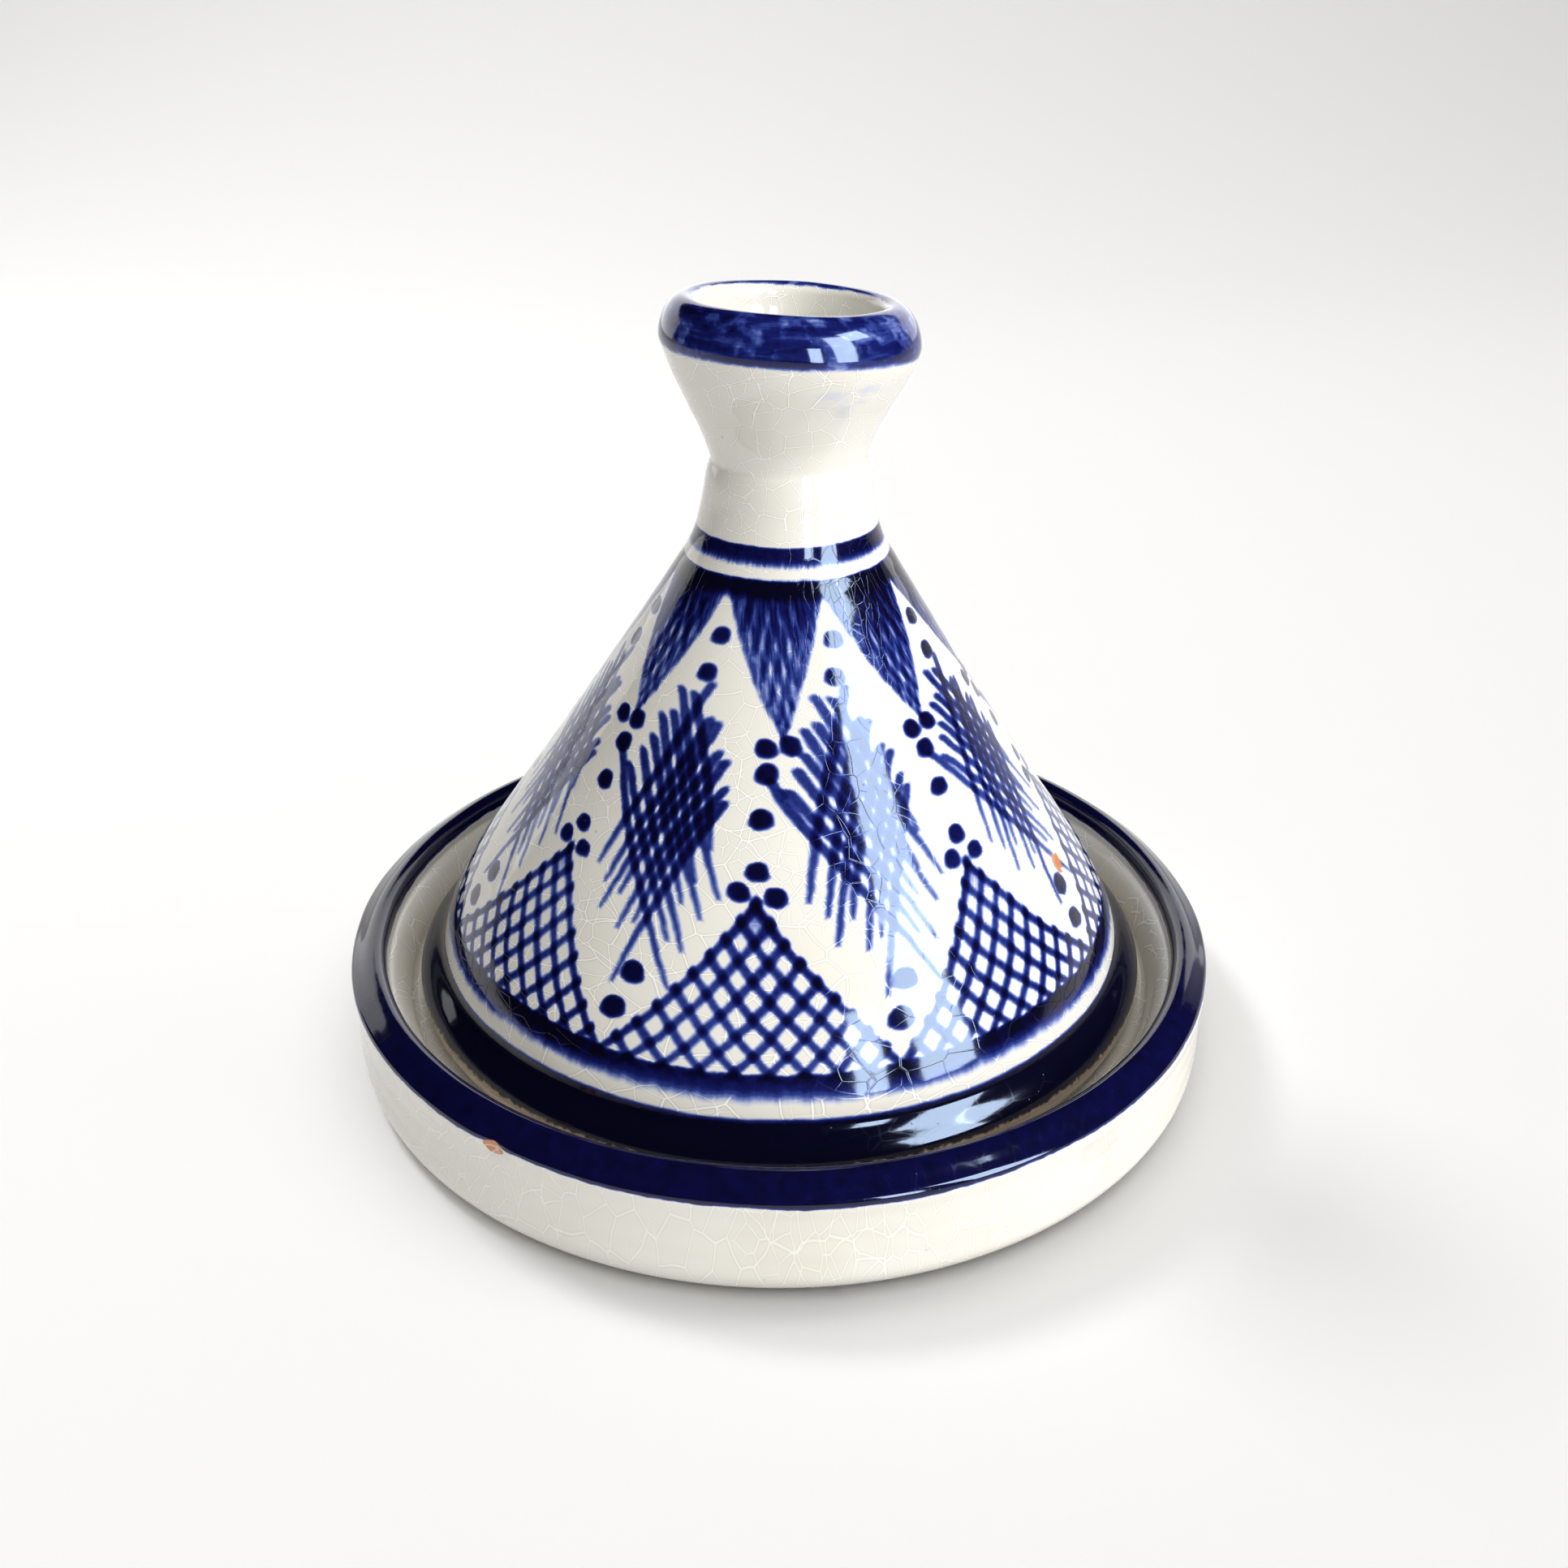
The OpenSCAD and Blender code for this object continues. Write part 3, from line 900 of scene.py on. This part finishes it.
dish = turned("painted_dish", dish_outline(), 360, dish_shape,
              chips=((*DISH_CHIP, 2.0, 1.4, 0.5),))
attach(dish, "dish")
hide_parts("base_dish")

lid = turned("painted_lid", lid_outline(), 320, lid_shape,
             chips=((*LID_CHIP, 1.7, 1.5, 0.5),))
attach(lid, "lid")
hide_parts("lid")

# ---------------------------------------------------------------- studio, in metres

BACKDROP_HALF = 3.0          # half its width
BACKDROP_FRONT = -1.6
BACKDROP_BACK = 0.75         # where the sweep starts
BACKDROP_BEND = 1.15         # radius of the sweep
BACKDROP_TOP = 1.3
BACKDROP_STEPS = 16
PAPER = (0.88, 0.88, 0.88, 1)


def backdrop():
    """A pale sheet: flat under the pot, then swept up behind it."""
    section = [(BACKDROP_FRONT, 0.0), (BACKDROP_BACK, 0.0)]
    for i in range(1, BACKDROP_STEPS + 1):
        angle = math.radians(90 * i / BACKDROP_STEPS)
        section.append((BACKDROP_BACK + BACKDROP_BEND * math.sin(angle),
                        BACKDROP_BEND - BACKDROP_BEND * math.cos(angle)))
    section.append((BACKDROP_BACK + BACKDROP_BEND, BACKDROP_TOP))
    vertices = [(x, y, z) for y, z in section for x in (-BACKDROP_HALF, BACKDROP_HALF)]
    faces = [(2 * i, 2 * i + 1, 2 * i + 3, 2 * i + 2) for i in range(len(section) - 1)]
    mesh = bpy.data.meshes.new("backdrop")
    mesh.from_pydata(vertices, [], faces)
    mesh.polygons.foreach_set("use_smooth", [True] * len(faces))
    sheet = bpy.data.objects.new("backdrop", mesh)
    bpy.context.scene.collection.objects.link(sheet)
    paper = bpy.data.materials.new("pale_paper")
    paper.use_nodes = True
    skin = paper.node_tree.nodes["Principled BSDF"]
    skin.inputs["Base Color"].default_value = PAPER
    skin.inputs["Roughness"].default_value = 0.9
    mesh.materials.append(paper)
    return sheet


POT_MIDDLE = (0, 0, 0.06)
DAYLIGHT = (0.58, 0.74, 1.0)
LAMPLIGHT = (1, 1, 1)


def panel_light(name, azimuth, elevation, distance, size, power, only, aim=POT_MIDDLE,
                reflection=None):
    """A soft rectangular light aimed at a point. Azimuth 0 is the camera's side.

    It lights nothing but the pieces in only. With reflection, which is a colour, it is
    seen only as a reflection in the glaze; without it, it never is."""
    data = bpy.data.lights.new(name, "AREA")
    data.shape = "RECTANGLE"
    data.size, data.size_y = size
    data.energy = power
    data.color = reflection or LAMPLIGHT
    light = bpy.data.objects.new(name, data)
    bpy.context.scene.collection.objects.link(light)
    a, e = math.radians(azimuth), math.radians(elevation)
    away = Vector((math.sin(a) * math.cos(e), -math.cos(a) * math.cos(e), math.sin(e)))
    light.location = Vector(aim) + away * distance
    light.rotation_euler = away.to_track_quat("Z", "Y").to_euler()
    light.visible_glossy = bool(reflection)
    light.visible_diffuse = not reflection
    lit = bpy.data.collections.new(name + "_lights")
    for piece in only:
        lit.objects.link(piece)
    light.light_linking.receiver_collection = lit


BRIGHT_SIDE = (0.2, 0.68, 0.62)    # behind the pot, and up
ROOM_WHITE = (1.0, 0.98, 0.95, 1)


def room():
    """Soft light from all round, dim on the camera's side. The glaze doesn't reflect it."""
    world = bpy.data.worlds.new("room")
    world.use_nodes = True
    nodes, links = world.node_tree.nodes, world.node_tree.links
    where = nodes.new("ShaderNodeTexCoord")
    toward = nodes.new("ShaderNodeVectorMath")
    toward.operation = "DOT_PRODUCT"
    toward.inputs[1].default_value = BRIGHT_SIDE
    links.new(where.outputs["Generated"], toward.inputs[0])
    ramp = nodes.new("ShaderNodeMapRange")
    ramp.inputs["From Min"].default_value = -0.5
    ramp.inputs["From Max"].default_value = 0.9
    ramp.inputs["To Min"].default_value = 0.04
    ramp.inputs["To Max"].default_value = 0.62
    links.new(toward.outputs["Value"], ramp.inputs["Value"])
    links.new(ramp.outputs[0], nodes["Background"].inputs["Strength"])
    nodes["Background"].inputs["Color"].default_value = ROOM_WHITE
    bpy.context.scene.world = world
    world.cycles_visibility.glossy = False


CAMERA_DISTANCE = 0.2239     # from the pot's axis, level
CAMERA_HEIGHT = 0.1598
CAMERA_SIDE = 0.0008
CAMERA_PITCH = 27.5          # degrees below level
LENS = 33.56                 # mm on a 36 mm wide frame


def camera():
    """The photo's viewpoint."""
    data = bpy.data.cameras.new("camera")
    data.sensor_width = 36
    data.lens = LENS
    data.clip_start = 0.01
    view = bpy.data.objects.new("camera", data)
    view.location = (CAMERA_SIDE, -CAMERA_DISTANCE, CAMERA_HEIGHT)
    view.rotation_euler = (math.radians(90 - CAMERA_PITCH), 0, 0)
    bpy.context.scene.collection.objects.link(view)
    bpy.context.scene.camera = view


floor = backdrop()
room()
pot = [dish, lid]

# name, azimuth, elevation, distance, size, watts: first the reflections in the glaze,
# then the light on the pot, then the light on the sheet
panel_light("window", 51, 24, 0.75, (0.24, 0.58), 8.6, pot, reflection=DAYLIGHT)
panel_light("window_top", 73, 43, 0.75, (0.25, 0.20), 3.1, [lid], reflection=DAYLIGHT)
panel_light("window_side", 26, 15, 0.75, (0.12, 0.30), 2.4, pot, reflection=DAYLIGHT)
panel_light("sheen", 186, 17, 1.1, (3.2, 0.66), 8, pot, reflection=LAMPLIGHT)
panel_light("key", 60, 30, 0.75, (0.5, 0.50), 6.4, pot)
panel_light("fill", 5, 12, 1.0, (0.6, 0.6), 3.8, pot)
panel_light("top", 60, 80, 0.9, (0.5, 0.5), 1.6, pot)
panel_light("sky", 232, 52, 1.5, (0.33, 0.33), 8.2, [floor])
panel_light("table_wash", 0, 89, 1.6, (3.2, 3.2), 4.7, [floor], aim=(0, 0.3, 0))
panel_light("pool", 0, 89, 0.6, (0.8, 0.6), 1.2, [floor], aim=(0, -0.2, 0))
panel_light("backdrop_wash", 0, 30, 1.9, (2.8, 0.8), 13.4, [floor], aim=(0, 1.9, 0.4))
camera()
bpy.context.scene.view_settings.view_transform = "Standard"
